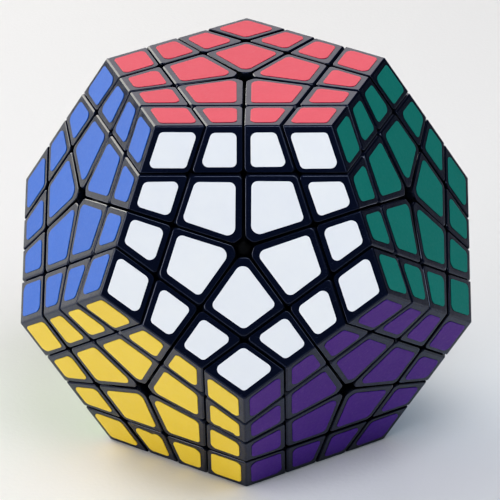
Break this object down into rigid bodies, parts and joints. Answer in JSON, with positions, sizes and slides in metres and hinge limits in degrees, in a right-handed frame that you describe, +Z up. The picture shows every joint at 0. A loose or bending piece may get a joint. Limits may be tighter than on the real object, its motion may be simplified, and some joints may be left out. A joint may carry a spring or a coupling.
{
  "type": "dodecahedron twisty puzzle",
  "caption": "Twelve-sided twisty puzzle in black plastic with coloured stickers; its faces turn in layers about a hidden core.",
  "frame": {"origin": "centre of the dodecahedron, where all the turning axes cross", "axes": "+Z up, the normal of the top (red) face; -Y towards the front corner and the white face; +X to the right"},
  "size_m": [0.11, 0.1156, 0.0936],
  "materials": {
    "shell_plastic": "glossy blue-black moulded plastic",
    "mechanism_plastic": "matt black moulded plastic",
    "steel": "bright zinc-plated steel",
    "sticker_white": "satin vinyl sticker",
    "sticker_red": "satin vinyl sticker",
    "sticker_blue": "satin vinyl sticker",
    "sticker_green": "satin vinyl sticker",
    "sticker_purple": "satin vinyl sticker",
    "sticker_yellow": "satin vinyl sticker",
    "sticker_orange": "satin vinyl sticker",
    "sticker_pink": "satin vinyl sticker",
    "sticker_cream": "satin vinyl sticker",
    "sticker_lime": "satin vinyl sticker",
    "sticker_sky": "satin vinyl sticker",
    "sticker_grey": "satin vinyl sticker"
  },
  "bodies": {
    "root": {"core": "mechanism_plastic", "fixed_block_blue_lime_yellow": "shell_plastic", "fixed_block_cream_green_sky": "shell_plastic", "fixed_block_cream_grey_pink": "shell_plastic", "fixed_block_cream_pink_red": "shell_plastic", "fixed_block_cream_red_green": "shell_plastic", "fixed_block_cream_sky_grey": "shell_plastic", "fixed_block_green_purple_sky": "shell_plastic", "fixed_block_orange_grey_sky": "shell_plastic", "fixed_block_orange_lime_grey": "shell_plastic", "fixed_block_orange_purple_yellow": "shell_plastic", "fixed_block_orange_sky_purple": "shell_plastic", "fixed_block_orange_yellow_lime": "shell_plastic", "fixed_block_pink_grey_lime": "shell_plastic", "fixed_block_pink_lime_blue": "shell_plastic", "fixed_block_red_pink_blue": "shell_plastic", "screw_cream": "steel", "screw_orange": "steel", "screw_white": "steel", "spring_cream": "steel", "spring_orange": "steel", "spring_white": "steel"},
    "white_second_layer": {"second_layer_white_blue_yellow": "shell_plastic", "second_layer_white_green_red": "shell_plastic", "second_layer_white_purple_green": "shell_plastic", "second_layer_white_red_blue": "shell_plastic", "second_layer_white_yellow_purple": "shell_plastic"},
    "white_outer_layer": {"centre_white_by_blue_yellow": "shell_plastic", "centre_white_by_green_red": "shell_plastic", "centre_white_by_purple_green": "shell_plastic", "centre_white_by_red_blue": "shell_plastic", "centre_white_by_yellow_purple": "shell_plastic", "corner_white_blue_yellow": "shell_plastic", "corner_white_green_red": "shell_plastic", "corner_white_purple_green": "shell_plastic", "corner_white_red_blue": "shell_plastic", "corner_white_yellow_purple": "shell_plastic", "edge_white_blue_by_red": "shell_plastic", "edge_white_blue_by_yellow": "shell_plastic", "edge_white_green_by_purple": "shell_plastic", "edge_white_green_by_red": "shell_plastic", "edge_white_purple_by_green": "shell_plastic", "edge_white_purple_by_yellow": "shell_plastic", "edge_white_red_by_blue": "shell_plastic", "edge_white_red_by_green": "shell_plastic", "edge_white_yellow_by_blue": "shell_plastic", "edge_white_yellow_by_purple": "shell_plastic", "hub_white": "mechanism_plastic"},
    "bottom_outer_layer": {"bottom_layer_grey_sky": "shell_plastic", "bottom_layer_lime_grey": "shell_plastic", "bottom_layer_purple_yellow": "shell_plastic", "bottom_layer_sky_purple": "shell_plastic", "bottom_layer_yellow_lime": "shell_plastic", "hub_orange": "mechanism_plastic"},
    "cream_outer_layer": {"cream_layer_green_sky": "shell_plastic", "cream_layer_grey_pink": "shell_plastic", "cream_layer_pink_red": "shell_plastic", "cream_layer_red_green": "shell_plastic", "cream_layer_sky_grey": "shell_plastic", "hub_cream": "mechanism_plastic"}
  },
  "joints": [
    {"name": "white_two_layer_turn", "type": "hinge", "parent": "root", "child": "white_second_layer", "pos_m": [0, 0, 0], "axis": [0, -0.8944, 0.4472], "continuous": true},
    {"name": "white_face_turn", "type": "hinge", "parent": "white_second_layer", "child": "white_outer_layer", "pos_m": [0, 0, 0], "axis": [0, -0.8944, 0.4472], "continuous": true},
    {"name": "bottom_face_turn", "type": "hinge", "parent": "root", "child": "bottom_outer_layer", "pos_m": [0, 0, 0], "axis": [0, 0, -1], "continuous": true},
    {"name": "cream_face_turn", "type": "hinge", "parent": "root", "child": "cream_outer_layer", "pos_m": [0, 0, 0], "axis": [0.5257, 0.7236, 0.4472], "continuous": true}
  ]
}
